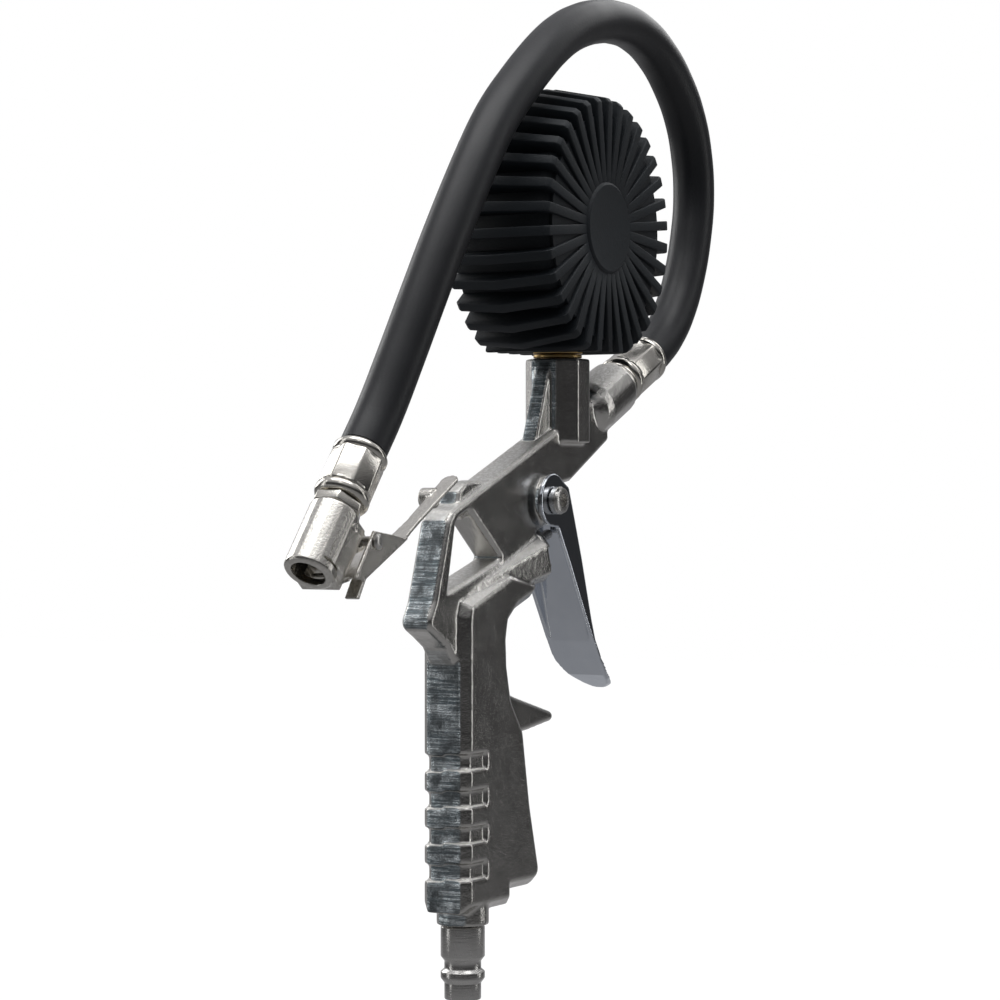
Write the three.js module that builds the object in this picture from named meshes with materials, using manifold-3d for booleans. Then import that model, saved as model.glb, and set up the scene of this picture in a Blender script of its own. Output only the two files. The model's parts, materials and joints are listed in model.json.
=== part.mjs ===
// A tyre inflator: die-cast gun with a finned pressure gauge, a short hose and a clip-on chuck.
// Millimetres. X runs forward to the trigger, Y sideways, Z up. The origin is the mouth of the inlet nipple.
import * as THREE from "three";
import { mergeVertices } from "three/addons/utils/BufferGeometryUtils.js";
import Module from "manifold-3d";

const wasm = await Module();
wasm.setup();

// ---- Clearances
const seat = 0.3; // faces that rest on, screw into or clamp one another
const play = 0.3; // round a part that turns or slides

// ---- Grip and inlet
const gripHalfWidth = 7.4;
const gripRearX = -10.4;
const gripEdge = 2.5; // chamfer along the grip's long edges
const gripBottomZ = 24.2;
const inletBossRadius = 7.15;
const inletBossZ = 20.3;
const nippleRadius = 6;
const nippleBore = 3.2;
const nippleThread = 4.9;
const nippleThreadLength = 11;
const notchCount = 4;
const notchPitch = 9.8;
const notchHeight = 4.6;
const notchDepth = 1;
const notchTopZ = 65;
const notchStep = 0.7; // the far half of each notch sits lower, across the parting line
const notchFrontX = 0.5;

// ---- Frame: rear strut, top beam and the web round the hanging window
const frameHalfWidth = 4.6;
const frameEdge = 1.1;
const galleryRadius = 1.9;

// ---- Valve barrel, laid along its own axis
const valveSlope = THREE.MathUtils.degToRad(17);
const valveOrigin = new THREE.Vector3(16, 0, 115.8);
const barrelHalfWidth = 8;
const barrelTop = 4;
const barrelBottom = 9.5;
const barrelLength = 19; // from the valve origin to the front face
const barrelTail = 34; // from the valve origin back to the rear end
const chamberRadius = 4.2;
const stemRadius = 1.4;
const stemTip = 34.1;
const seatStart = 8.1;
const seatLength = 2.9;
const outletAt = 12.4; // where the air leaves the chamber for the beam
const glandStart = 15.1;
const glandHexLength = 3;
const glandHexFlats = 11;

// ---- Trigger
const pivot = new THREE.Vector3(37.3, 0, 135);
const pivotLugRadius = 6.3;
const triggerSheet = 1.3;
const triggerInnerHalf = 6.5;
const boltRadius = 2.5;
const boltHeadRadius = 3.9;
const boltHeadHeight = 2.6;
const boltSocketRadius = 1.7;
const nutFlats = 8;
const nutHeight = 3;

// ---- Gauge
const gaugeBossRadius = 9.3;
const gaugeBossTopZ = 175.4;
const gaugeStandoff = 5.4; // from the top of the boss to the underside of the case
const socketThread = 5;
const socketThreadDepth = 9;
const socketHexFlats = 14;
const washerHeight = 0.9;
const caseRadius = 31.4;
const gaugeCentre = new THREE.Vector3(53.2, 0, gaugeBossTopZ + gaugeStandoff + caseRadius);
const caseWall = 1.1;
const caseBackY = -14.2;
const caseFrontY = 11;
const bootWall = 1.8;
const bootBackY = -17.3;
const bootFrontY = 15.5;
const ribCount = 34;
const ribRidgeRadius = caseRadius + 9;
const ribBackRadius = caseRadius + 5.7;
const ribFrontRadius = caseRadius + 7.4;
const ribWidth = 2.6;
const bezelFrontY = 15.2;
const lensThickness = 2;
const lensFrontY = 13.6;
const dialY = 7;
const dialThickness = 0.6;
const pinionRadius = 1.5;
const pinionTeeth = 10;
const sectorRadius = 14.4; // 96 teeth if it went all the way round
const sectorTeeth = 12;
const arborRadius = 0.8;
const plateThickness = 0.8;
const rearPlateY = -4.2;
const frontPlateY = 1.6;
const tailLength = 9;
const pointerSweep = 270; // degrees from zero to full scale
const tubeRadius = 23.5;
const tubeEnd = 200; // degrees round from +X to the closed tip
const tubeThickness = 2;

// ---- Hose and its ends
const portSlope = THREE.MathUtils.degToRad(24.5);
const portFace = new THREE.Vector3(87.5, 0, 168.4);
const portBossRadius = 8.2;
const tailFlangeRadius = 7;
const portThread = 4.2;
const portThreadDepth = 8;
const hoseRadius = 6.4;
const hoseBore = 3.2;
const ferruleWall = 0.95;
const ferruleLength = 19.6;
const chuckFerruleLength = 17;
const tailFlange = 2.6;
const tailBore = 1.8;
const chuckTop = new THREE.Vector3(-50.4, 0, 148.1);
const chuckLean = THREE.MathUtils.degToRad(39);
const chuckRadius = 6.7;
const chuckBore = 4.6;
const chuckHexFlats = 12;
const chuckHexHeight = 3;
const chuckLength = 19.4;
const clipSheet = 1;
const clipPinRadius = 1.3;
const clipPinX = 10.1;
const clipPinZ = -21.6;

// Points along the middle of the hose, from the gun round to the chuck. It swings clear of the boot on one side.
const hoseRoute = [
  [113.4, 0, 180.6], [120.5, 0, 185.4], [127.7, 0, 193], [134.1, 0, 203.6], [138.7, 0, 216],
  [140.9, 0, 229.8], [138.9, 0, 243.4], [134.5, 0, 253.2], [127.2, 0, 261.8], [115.9, 0, 270],
  [99.6, -0.6, 275.2], [83.5, -1.3, 275.8], [71.8, -2, 274.2], [61.4, -2.8, 271.7], [51.1, -3.5, 268.1],
  [40.6, -4.2, 262.9], [30.7, -4.7, 256.6], [21.3, -5, 249.7], [13.8, -5, 243.5], [7.3, -5, 237.1],
  [1, -5, 229.6], [-4.9, -4.8, 221.7], [-15.5, -4, 205.6], [-25.1, -2.8, 189], [-34.1, -1.4, 172.6],
  [-42.9, -0.3, 157.8],
];

const nickel = { color: 0xb9b7b2, roughness: 0.32, metalness: 1 };
const chrome = { color: 0xd8dbe0, roughness: 0.08, metalness: 1 };
const steel = { color: 0xa8a9aa, roughness: 0.3, metalness: 1 };
const brass = { color: 0xb08a45, roughness: 0.3, metalness: 1 };
const rubber = { color: 0x17181a, roughness: 0.6, metalness: 0 };
const boot = { color: 0x101418, roughness: 0.75, metalness: 0 };
const paper = { color: 0xf2f2ee, roughness: 0.6, metalness: 0 };
const glass = { color: 0xdfe8ea, roughness: 0.05, metalness: 0 };
const red = { color: 0xb3261e, roughness: 0.5, metalness: 0 };

// ---- Solids: closed three.js geometry turned into manifold solids, joined and cut

function solid(geometry) {
  const bare = geometry.clone();
  bare.deleteAttribute("normal");
  bare.deleteAttribute("uv");
  const merged = mergeVertices(bare, 1e-4);
  const vertProperties = new Float32Array(merged.attributes.position.array);
  const corners = merged.index.array;
  const kept = [];
  for (let i = 0; i < corners.length; i += 3) {
    const [a, b, c] = corners.slice(i, i + 3);
    if (a !== b && b !== c && c !== a) kept.push(a, b, c);
  }
  return new wasm.Manifold(new wasm.Mesh({ numProp: 3, vertProperties, triVerts: new Uint32Array(kept) }));
}

const join = (...pieces) => pieces.reduce((whole, piece) => whole.add(piece));

const cut = (piece, ...tools) => tools.reduce((rest, tool) => rest.subtract(tool), piece);

function named(name, piece, finish) {
  const result = piece.getMesh();
  const geometry = new THREE.BufferGeometry();
  geometry.setAttribute("position", new THREE.BufferAttribute(new Float32Array(result.vertProperties), 3));
  geometry.setIndex(new THREE.BufferAttribute(new Uint32Array(result.triVerts), 1));
  geometry.computeVertexNormals();
  const mesh = new THREE.Mesh(geometry, new THREE.MeshStandardMaterial(finish));
  mesh.name = name;
  return mesh;
}

// A body of revolution about Z from [radius, height] pairs.
function turned(profile, sides = 20) {
  const points = profile.map(([radius, height]) => new THREE.Vector2(radius, height));
  if (profile[0][0] > 0) points.push(points[0].clone());
  return new THREE.LatheGeometry(points, sides).rotateX(Math.PI / 2);
}

const turnedX = (profile, sides) => turned(profile, sides).rotateY(Math.PI / 2);

// Spun about Y, with heights that run along +Y.
const turnedY = (profile, sides) => turned(profile, sides).rotateX(-Math.PI / 2);

const disc = (radius, from, to) => [[0, from], [radius, from], [radius, to], [0, to]];

const sleeve = (inner, outer, from, to) => [[inner, from], [outer, from], [outer, to], [inner, to]];

// A regular prism about Z, given across its flats.
function prism(sides, flats, from, to, turn = 0) {
  const radius = flats / 2 / Math.cos(Math.PI / sides);
  const geometry = new THREE.CylinderGeometry(radius, radius, to - from, sides).rotateX(Math.PI / 2);
  return geometry.rotateZ(turn).translate(0, 0, (from + to) / 2);
}

// An outline of [x, z] points given a thickness about the middle plane, its edges chamfered.
// Holes run the other way round from the outline.
function slab(outline, halfWidth, chamfer = 0, holes = []) {
  const shape = new THREE.Shape(outline.map(([x, z]) => new THREE.Vector2(x, z)));
  for (const hole of holes) {
    shape.holes.push(new THREE.Path(hole.map(([x, z]) => new THREE.Vector2(x, z))));
  }
  const depth = 2 * (halfWidth - chamfer);
  const geometry = new THREE.ExtrudeGeometry(shape, {
    depth,
    bevelEnabled: chamfer > 0,
    bevelThickness: chamfer,
    bevelSize: chamfer,
    bevelOffset: -chamfer,
    bevelSegments: 1,
  });
  return geometry.translate(0, 0, -depth / 2).rotateX(Math.PI / 2);
}

const box = (x0, x1, y0, y1, z0, z1) =>
  new THREE.BoxGeometry(x1 - x0, y1 - y0, z1 - z0).translate((x0 + x1) / 2, (y0 + y1) / 2, (z0 + z1) / 2);

// Points on an arc about [x, z], angles in degrees.
function arc(x, z, radius, from, to, steps) {
  const points = [];
  for (let i = 0; i <= steps; i++) {
    const angle = THREE.MathUtils.degToRad(from + ((to - from) * i) / steps);
    points.push([x + radius * Math.cos(angle), z + radius * Math.sin(angle)]);
  }
  return points;
}

// A wire coil about Z.
function coil(radius, wire, turns, from, to) {
  const points = [];
  const steps = turns * 10;
  for (let i = 0; i <= steps; i++) {
    const angle = (i / 10) * 2 * Math.PI;
    const height = from + wire + ((to - from - 2 * wire) * i) / steps;
    points.push(new THREE.Vector3(radius * Math.cos(angle), radius * Math.sin(angle), height));
  }
  return tube(points, wire, steps, 5);
}

function tube(points, radius, steps, sides) {
  const section = new THREE.Shape();
  for (let i = 0; i < sides; i++) {
    const angle = (i / sides) * 2 * Math.PI;
    const point = [radius * Math.cos(angle), radius * Math.sin(angle)];
    if (i === 0) section.moveTo(...point);
    else section.lineTo(...point);
  }
  section.closePath();
  const extrudePath = new THREE.CatmullRomCurve3(points, false, "centripetal");
  return new THREE.ExtrudeGeometry(section, { steps, extrudePath, bevelEnabled: false });
}

// ---- Frames that tilted pieces are built in: X of the valve and port frames is the piece's axis
const tilt = (origin, angle) =>
  new THREE.Matrix4().makeRotationY(-angle).setPosition(origin.x, origin.y, origin.z);
const valveFrame = tilt(valveOrigin, valveSlope);
const portFrame = tilt(portFace, portSlope);
const chuckFrame = tilt(chuckTop, -chuckLean);

function framed(matrix, ...meshes) {
  const group = new THREE.Group();
  group.applyMatrix4(matrix);
  group.add(...meshes);
  return group;
}

// ---- Body casting

// Plan of the grip's rear half, moved inwards by inset.
function gripPlan(inset) {
  const half = gripHalfWidth - inset;
  const rear = gripRearX + inset;
  const edge = gripEdge - inset * (Math.SQRT2 - 1) * Math.SQRT1_2;
  return [
    [40, -half], [40, half], [rear + edge, half], [rear, half - edge], [rear, edge - half], [rear + edge, -half],
  ];
}

function gripNotches() {
  const shape = new THREE.Shape(gripPlan(notchDepth).map(([x, y]) => new THREE.Vector2(x, y)));
  const core = solid(new THREE.ExtrudeGeometry(shape, { depth: 100, bevelEnabled: false }));
  const tools = [];
  for (let i = 0; i < notchCount; i++) {
    const z = notchTopZ - i * notchPitch;
    const reach = gripHalfWidth + 5;
    const near = box(gripRearX - 5, notchFrontX, -reach, 0.1, z - notchHeight / 2, z + notchHeight / 2);
    const far = box(gripRearX - 5, notchFrontX, 0, reach, z - notchHeight / 2, z + notchHeight / 2);
    far.translate(0, 0, -notchStep);
    tools.push(join(solid(near), solid(far)).subtract(core));
  }
  return join(...tools);
}

function grip() {
  const outline = [
    [gripRearX, gripBottomZ], [15.4, gripBottomZ], [15.4, 28.2], ...arc(26.8, 32.8, 4.6, -90, 0, 3),
    [26.4, 50.8], [24, 63.4], [22.4, 72], [15.8, 81], [13.6, 90], [13.2, 97], [14.2, 101.4], [18.6, 104.8],
    [28, 108], [31, 112], [14, 116], [-9, 108], [gripRearX, 104],
  ];
  const finRoot = 16;
  const fin = [[finRoot, 82.8], [24, 80.4], ...arc(43.6, 73.9, 1.5, 60, -60, 2), [32, 71], [finRoot, 69.3]];
  const boss = turned(disc(inletBossRadius, inletBossZ, gripBottomZ + 2));
  return join(solid(slab(outline, gripHalfWidth, gripEdge)), solid(slab(fin, 3.4, 0.9)), solid(boss));
}

function frame() {
  const outline = [
    [-7, 84], [-10.5, 90.6], [-14.5, 95.6], [-20, 98.8], ...arc(-22, 103, 2.9, 230, 150, 4),
    [-22, 108.5], [-15.1, 129.6], [-12.6, 132.4], [44, 154.6], [56, 160.6], [74, 166], [76.6, 152.4],
    [53.5, 140.4], [44, 138.9], [40, 129], [32, 121], [10, 108], [6, 84],
  ];
  const window = [
    [12, 118.7], [12.6, 119.6], [-2.6, 131.6], [-4.6, 131.9], [-9, 130.2], [-10.6, 128.6], [-15, 110.6],
  ];
  const hump = [[-9.5, 132], [-7, 137.6], [-3.4, 139.9], [2, 140.6], [9, 140.6], [12, 136], [-4, 130]];
  return join(
    solid(slab(outline, frameHalfWidth, frameEdge, [window])),
    solid(slab(hump, 3, 0.8)),
  );
}

// The barrel's section narrows towards its rear end, where it meets the strut.
function barrel() {
  const half = barrelHalfWidth;
  const section = [
    [-half + 3.2, barrelTop], [half - 3.2, barrelTop], [half, 1], [half, -barrelBottom + 3],
    [half - 3, -barrelBottom], [3 - half, -barrelBottom], [-half, -barrelBottom + 3], [-half, 1],
  ];
  const shape = new THREE.Shape(section.map(([y, z]) => new THREE.Vector2(y, z)));
  const length = barrelLength + barrelTail;
  const geometry = new THREE.ExtrudeGeometry(shape, { depth: length, bevelEnabled: false });
  const place = geometry.attributes.position;
  for (let i = 0; i < place.count; i++) {
    const front = place.getZ(i) / length;
    place.setX(i, place.getX(i) * THREE.MathUtils.lerp((frameHalfWidth - 1) / half, 1, front));
    place.setY(i, place.getY(i) * (place.getY(i) < 0 ? THREE.MathUtils.lerp(0.3, 1, front) : 1));
  }
  geometry.translate(0, 0, -barrelTail).rotateX(Math.PI / 2).rotateZ(Math.PI / 2);
  return solid(geometry.applyMatrix4(valveFrame));
}

function head() {
  const base = gaugeBossTopZ - 24;
  const boss = prism(8, 2 * gaugeBossRadius * Math.cos(Math.PI / 8), base, gaugeBossTopZ, Math.PI / 8);
  boss.translate(gaugeCentre.x, 0, 0);
  const gussetTop = gaugeBossTopZ - 2;
  const gusset = [[35.4, 150], [44.2, gussetTop], [gaugeCentre.x, gussetTop], [gaugeCentre.x, 150]];
  const dome = arc(portBossRadius - 24, 0, portBossRadius, 180, 90, 4).map(([x, r]) => [r, x]);
  const portProfile = [...dome, [portBossRadius, -1], [portBossRadius - 1, 0], [0, 0]];
  const port = turnedX(portProfile);
  const lug = turnedY(disc(pivotLugRadius, play - triggerInnerHalf, triggerInnerHalf - play));
  return join(
    solid(boss),
    solid(slab(gusset, 2.4, 0.5)),
    solid(port.applyMatrix4(portFrame)),
    solid(lug.translate(pivot.x, 0, pivot.z)),
  );
}

function airways() {
  const inlet = turned(disc(nippleThread + seat, inletBossZ - 1, inletBossZ + nippleThreadLength + 1));
  const riser = turned(disc(galleryRadius + 0.6, inletBossZ + nippleThreadLength, 110), 12);
  const chamber = turnedX(disc(chamberRadius, 0, barrelLength + 1)).applyMatrix4(valveFrame);
  const glandCorner = glandHexFlats / Math.sqrt(3);
  const glandRoom = turnedX(disc(glandCorner + 2 * seat, barrelLength, barrelLength + 12));
  glandRoom.applyMatrix4(valveFrame);
  const feed = turnedX(disc(galleryRadius, -19, 0.5), 12).applyMatrix4(valveFrame);
  const outlet = new THREE.Vector3(outletAt, 0, 0).applyMatrix4(valveFrame);
  const outletTop = portFace.z - (portFace.x - outlet.x) * Math.tan(portSlope);
  const outletBore = turned(disc(galleryRadius, outlet.z, outletTop + 0.5), 12).translate(outlet.x, 0, 0);
  const beamLength = (portFace.x - outlet.x) / Math.cos(portSlope);
  const beamBore = turnedX(disc(galleryRadius, -beamLength, 0.5), 12).applyMatrix4(portFrame);
  const port = turnedX(disc(portThread + seat, -portThreadDepth, 1)).applyMatrix4(portFrame);
  const gaugeBase = portFace.z - (portFace.x - gaugeCentre.x) * Math.tan(portSlope);
  const gaugeBore = turned(disc(galleryRadius, gaugeBase, gaugeBossTopZ), 12);
  const gaugePortBottom = gaugeBossTopZ - socketThreadDepth - 1;
  const gaugePort = turned(disc(socketThread + seat, gaugePortBottom, gaugeBossTopZ + 1));
  const bolt = turnedY(disc(boltRadius + play, -20, 20), 20).translate(pivot.x, 0, pivot.z);
  return [
    inlet, riser, chamber, glandRoom, feed, outletBore, beamBore, port,
    gaugeBore.translate(gaugeCentre.x, 0, 0), gaugePort.translate(gaugeCentre.x, 0, 0), bolt,
  ].map(solid);
}

function bodyCasting() {
  const whole = join(grip(), frame(), barrel(), head());
  return named("body_casting", cut(whole, gripNotches(), ...airways()), nickel);
}

function inletNipple() {
  const shoulder = inletBossZ - seat;
  const groove = nippleRadius - 1.1;
  const top = inletBossZ + nippleThreadLength;
  const profile = [
    [nippleBore, 0], [nippleRadius - 1.3, 0], [nippleRadius - 1, 0.4], [nippleRadius - 1, 4.5],
    [nippleRadius, 5.7], [nippleRadius, 7.7], [groove, 8.3], [groove, 10.6], [nippleRadius, 11.7],
    [nippleRadius, shoulder], [nippleThread, shoulder], [nippleThread, top], [nippleBore, top],
  ];
  return named("inlet_nipple", solid(turned(profile, 24)), steel);
}

// ---- Valve, in the valve frame with X along the stem

function valveParts() {
  const headStart = 5.5;
  const head = chamberRadius - 1.2;
  const round = arc(stemTip - stemRadius, 0, stemRadius, 90, 0, 3).map(([x, r]) => [Math.max(r, 0), x]);
  const headEnd = headStart + 1.2;
  const stem = turnedX([[0, headStart], [head, headStart], [head, headEnd], [stemRadius, headEnd], ...round], 16);
  const sealStart = headEnd + seat;
  const seal = turnedX(sleeve(stemRadius + seat, head, sealStart, seatStart - seat));
  const seatRing = turnedX(sleeve(stemRadius + 0.8, chamberRadius - seat, seatStart, seatStart + seatLength));
  const ring = turnedX(sleeve(stemRadius + play, chamberRadius - seat, glandStart - 1.8, glandStart - seat));
  const hexStart = barrelLength + seat;
  const body = turnedX(disc(chamberRadius - seat, glandStart, hexStart + 0.5));
  const hex = prism(6, glandHexFlats, hexStart, hexStart + glandHexLength).rotateY(Math.PI / 2);
  const bore = turnedX(disc(stemRadius + play, glandStart - 1, hexStart + glandHexLength + 1), 16);
  const spring = coil(chamberRadius - 1.8, 0.45, 4, seat, headStart - seat).rotateY(Math.PI / 2);
  return framed(
    valveFrame,
    named("valve_stem", solid(stem), steel),
    named("valve_seal", solid(seal), rubber),
    named("valve_seat", solid(seatRing), brass),
    named("gland_o_ring", solid(ring), rubber),
    named("valve_gland_nut", cut(join(solid(body), solid(hex)), solid(bore)), nickel),
    named("valve_spring", solid(spring), steel),
  );
}

// ---- Trigger

// The lever's front face in side view, from its top edge down to the tip of the tongue.
const triggerFront = [
  [46.7, 136.4], [48.2, 133], [53.7, 118.4], [59.4, 101.2], [61.9, 94.9], [65.6, 89.6], [70.9, 85.3], [79.4, 81],
];

// The same line moved back by the sheet's thickness.
function sheetBack(line, thickness) {
  return line.map(([x, z], i) => {
    const [x0, z0] = line[Math.max(i - 1, 0)];
    const [x1, z1] = line[Math.min(i + 1, line.length - 1)];
    const length = Math.hypot(x1 - x0, z1 - z0);
    return [x + ((z1 - z0) / length) * thickness, z - ((x1 - x0) / length) * thickness];
  });
}

function triggerLever() {
  const outer = triggerInnerHalf + triggerSheet;
  const back = sheetBack(triggerFront, triggerSheet);
  const web = solid(slab([...triggerFront, ...back.reverse()], outer));
  const rim = triggerFront.slice(1, 6);
  const rear = [[60, 95.2], [52.2, 107.4], [46.8, 116.4], [39.6, 127.4]];
  const ear = [...arc(pivot.x, pivot.z, 7.6, 250, 45, 10), [46, 138.6], ...rim, ...rear];
  const plates = cut(solid(slab(ear, outer)), solid(slab(ear, triggerInnerHalf)));
  const tongueWidth = solid(trimmedTongue(outer));
  const bolt = turnedY(disc(boltRadius + play, -20, 20), 20).translate(pivot.x, 0, pivot.z);
  const whole = join(web, plates).intersect(tongueWidth);
  return named("trigger_lever", cut(whole, solid(bolt)), chrome);
}

// Front view of the lever: straight sides and a round tongue end. Heights are world Z.
function trimmedTongue(halfWidth) {
  const roundZ = 91;
  const depth = roundZ - 80;
  const end = arc(0, 0, 1, 180, 360, 12).map(([y, z]) => [y * halfWidth, roundZ + z * (depth + 0.3)]);
  const outline = [...end, [halfWidth, 150], [-halfWidth, 150]];
  const shape = new THREE.Shape(outline.map(([y, z]) => new THREE.Vector2(y, z)));
  const geometry = new THREE.ExtrudeGeometry(shape, { depth: 120, bevelEnabled: false });
  return geometry.rotateX(Math.PI / 2).rotateZ(Math.PI / 2);
}

function pivotParts() {
  const outer = triggerInnerHalf + triggerSheet + seat;
  const headFace = outer + boltHeadHeight;
  const end = outer + nutHeight + 0.6;
  const profile = [
    [0, -end], [boltRadius, -end], [boltRadius, outer], [boltHeadRadius, outer], [boltHeadRadius, headFace - 0.4],
    [boltHeadRadius - 0.4, headFace], [0, headFace],
  ];
  const socket = prism(6, 2 * boltSocketRadius, headFace - 1.6, headFace + 1).rotateX(-Math.PI / 2);
  const bolt = cut(solid(turnedY(profile)), solid(socket));
  const bore = disc(boltRadius + seat, -end - 1, 0);
  const nut = cut(
    solid(prism(6, nutFlats, -outer - nutHeight, -outer).rotateX(-Math.PI / 2)),
    solid(turnedY(bore)),
  );
  const group = new THREE.Group();
  // The bolt's head is on the left side of the gun, at minus Y.
  group.add(named("pivot_bolt", bolt, steel), named("pivot_nut", nut, steel));
  group.rotation.z = Math.PI;
  group.position.copy(pivot);
  return group;
}

// ---- Gauge, in a frame at the dial's centre, dial towards +Y

function gaugeShell() {
  const stemHole = solid(turned(disc(socketThread + 1.6, -caseRadius - 4, -caseRadius + 6)));
  const cup = turnedY([
    [0, caseBackY], [caseRadius, caseBackY], [caseRadius, caseFrontY], [caseRadius - caseWall, caseFrontY],
    [caseRadius - caseWall, caseBackY + caseWall], [0, caseBackY + caseWall],
  ], 48);
  const lensRadius = caseRadius - 0.6;
  const lens = turnedY(disc(lensRadius - seat, lensFrontY - lensThickness, lensFrontY), 48);
  const lip = lensRadius - 2.4;
  const bezel = turnedY([
    [lip, bezelFrontY], [lip, lensFrontY + seat], [lensRadius, lensFrontY + seat], [lensRadius, caseFrontY + seat],
    [caseRadius, caseFrontY + seat], [caseRadius, bezelFrontY - 0.8], [caseRadius - 0.8, bezelFrontY],
  ], 48);
  const dialEdge = caseRadius - caseWall - seat;
  const dial = turnedY(sleeve(arborRadius + 0.8, dialEdge, dialY, dialY + dialThickness), 48);
  return [
    named("gauge_case", cut(solid(cup), stemHole), nickel),
    named("gauge_lens", solid(lens), glass),
    named("gauge_bezel", solid(bezel), nickel),
    named("gauge_dial", solid(dial), paper),
  ];
}

// A wheel of ribs, kept inside a double cone that is widest at the middle plane.
function gaugeBoot() {
  const inner = caseRadius + seat;
  const base = inner + bootWall;
  const outline = [];
  for (let i = 0; i < ribCount; i++) {
    const middle = ((i + 0.5) / ribCount) * 2 * Math.PI;
    const root = ribWidth / 2 / base;
    const tip = (ribWidth / 2 / ribRidgeRadius) * 0.9;
    const rib = [[base, -root], [ribRidgeRadius, -tip], [ribRidgeRadius, tip], [base, root]];
    for (const [radius, angle] of rib) {
      outline.push([radius * Math.cos(middle + angle), radius * Math.sin(middle + angle)]);
    }
  }
  const depth = Math.max(-bootBackY, bootFrontY);
  const reach = 2 * ribRidgeRadius;
  const above = solid(box(-reach, reach, -reach, reach, -caseRadius - 3.8, reach)); // level over the boss
  const limit = turnedY([
    [0, bootBackY], [ribBackRadius - 1, bootBackY], [ribBackRadius, bootBackY + 1], [ribRidgeRadius, 0],
    [ribFrontRadius, bootFrontY - 1], [ribFrontRadius - 1, bootFrontY], [0, bootFrontY],
  ], 34);
  const room = turnedY([
    [0, caseBackY - seat], [inner, caseBackY - seat], [inner, bezelFrontY - 0.6],
    [inner - 1.8, bootFrontY + 1], [0, bootFrontY + 1],
  ], 48);
  const opening = solid(turned(disc(gaugeBossRadius + 1.4, -ribRidgeRadius - 2, -inner + 4), 24));
  const wheel = solid(slab(outline, depth)).intersect(solid(limit)).intersect(above);
  return named("gauge_boot", cut(wheel, solid(room), opening), boot);
}

// Brass stem, hexagon and the block inside the case that feeds the curved tube.
function gaugeSocket() {
  const bossTop = gaugeBossTopZ - gaugeCentre.z;
  const hexBottom = bossTop + washerHeight + 2 * seat;
  const blockBottom = -caseRadius + caseWall + 1.4;
  const stem = turned(disc(socketThread, bossTop - socketThreadDepth, blockBottom + 2));
  const hex = prism(6, socketHexFlats, hexBottom, -caseRadius - seat);
  const low = box(-6, 6, -11, 4.5, blockBottom, -22);
  const high = box(-6, 6, -11, rearPlateY - seat, -22.5, -18.6);
  const bore = turned(disc(tailBore, bossTop - socketThreadDepth - 1, blockBottom + 4), 12);
  return named("gauge_socket", cut(join(...[stem, hex, low, high].map(solid)), solid(bore)), brass);
}

function socketWasher() {
  const bottom = gaugeBossTopZ - gaugeCentre.z + seat;
  const ring = sleeve(socketThread + seat, socketHexFlats / 2, bottom, bottom + washerHeight);
  return named("socket_washer", solid(turned(ring)), brass);
}

function bourdonTube() {
  const start = -90 + THREE.MathUtils.radToDeg(Math.asin((6 + 2 * seat) / tubeRadius));
  const outer = arc(0, 0, tubeRadius + tubeThickness / 2, start, tubeEnd, 30);
  const inner = arc(0, 0, tubeRadius - tubeThickness / 2, tubeEnd, start, 30);
  const middleY = rearPlateY - seat - 3.1;
  return named("bourdon_tube", solid(slab([...outer, ...inner], 3).translate(0, middleY, 0)), brass);
}

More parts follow.
